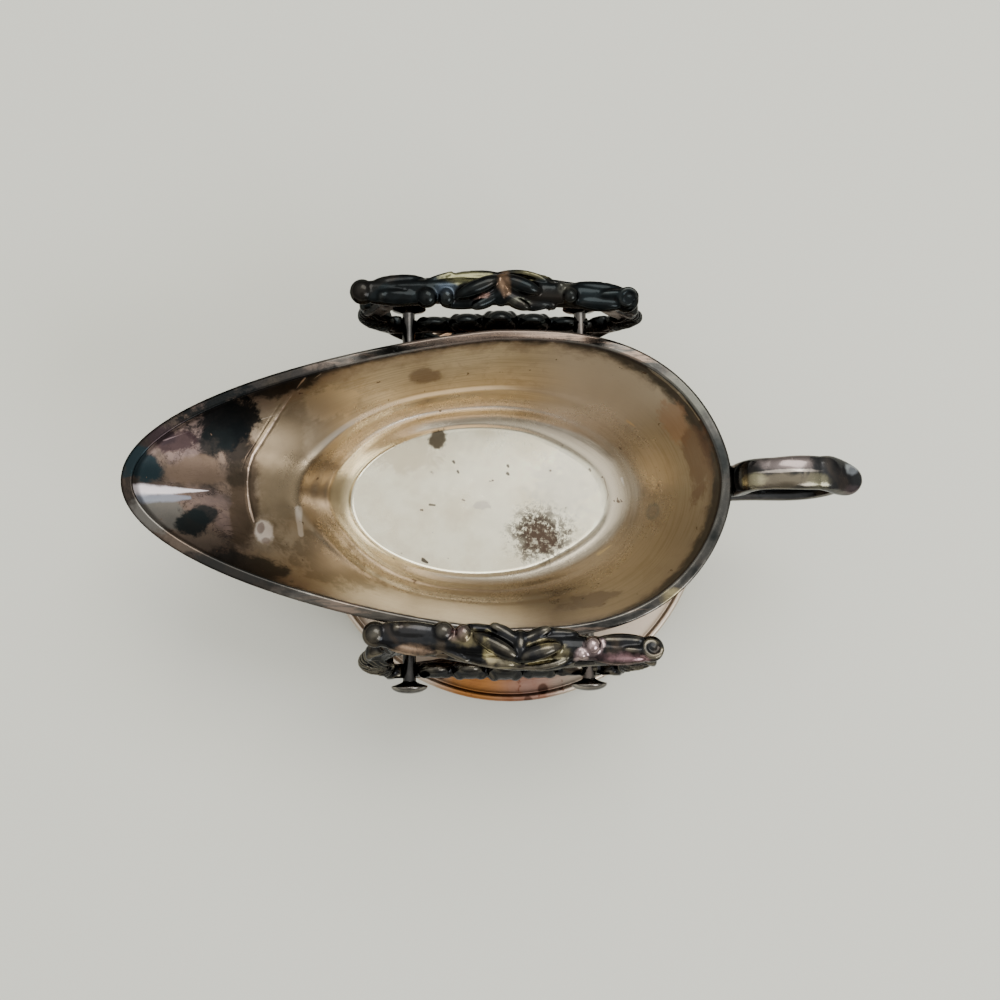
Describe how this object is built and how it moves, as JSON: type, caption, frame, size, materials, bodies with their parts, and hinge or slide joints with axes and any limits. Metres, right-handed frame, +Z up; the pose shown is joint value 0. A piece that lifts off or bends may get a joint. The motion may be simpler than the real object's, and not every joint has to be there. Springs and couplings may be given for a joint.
{
  "type": "sauce boat with stand",
  "caption": "Oval sauce boat with a long spout and scroll handle, hung by headed pins between two cast openwork side frames on a round dish; it tilts forward to pour.",
  "frame": {"origin": "on the dish's flat underside, midway between the two frames", "axes": "+Z up; +X towards the handle, -X towards the spout; the frames stand at +Y and -Y"},
  "size_m": [0.2283, 0.144, 0.1063],
  "materials": {
    "boat_plate": "tarnished silver plate, brown inside and dark towards the spout",
    "rim_plate": "nearly black tarnish with a polished edge",
    "handle_plate": "black tarnish worn to beige on top",
    "boss_plate": "dark tarnish",
    "pin_plate": "dark tarnish, bright on the dome",
    "dish_plate": "silver plate worn to a coppery pink",
    "dish_wire_plate": "silver plate worn to a coppery pink",
    "frame_plate": "cast, black in the hollows and bright on the high points",
    "screw_metal": "plain dull steel"
  },
  "bodies": {
    "stand": {"stand_dish": "dish_plate", "dish_rim_wire": "dish_wire_plate", "side_frame_far": "frame_plate", "side_frame_near": "frame_plate", "frame_screw_front_far": "screw_metal", "frame_screw_front_near": "screw_metal", "frame_screw_rear_far": "screw_metal", "frame_screw_rear_near": "screw_metal"},
    "boat": {"boat_body": "boat_plate", "boat_rim_wire": "rim_plate", "boat_handle": "handle_plate", "pin_boss_front_far": "boss_plate", "pin_boss_front_near": "boss_plate", "pin_boss_rear_far": "boss_plate", "pin_boss_rear_near": "boss_plate", "pin_front_far": "pin_plate", "pin_front_near": "pin_plate", "pin_rear_far": "pin_plate", "pin_rear_near": "pin_plate"}
  },
  "joints": [
    {"name": "boat_tilt", "type": "hinge", "parent": "stand", "child": "boat", "pos_m": [-0.0316, 0, 0.0412], "axis": [0, -1, 0], "range_deg": [0, 33]}
  ]
}
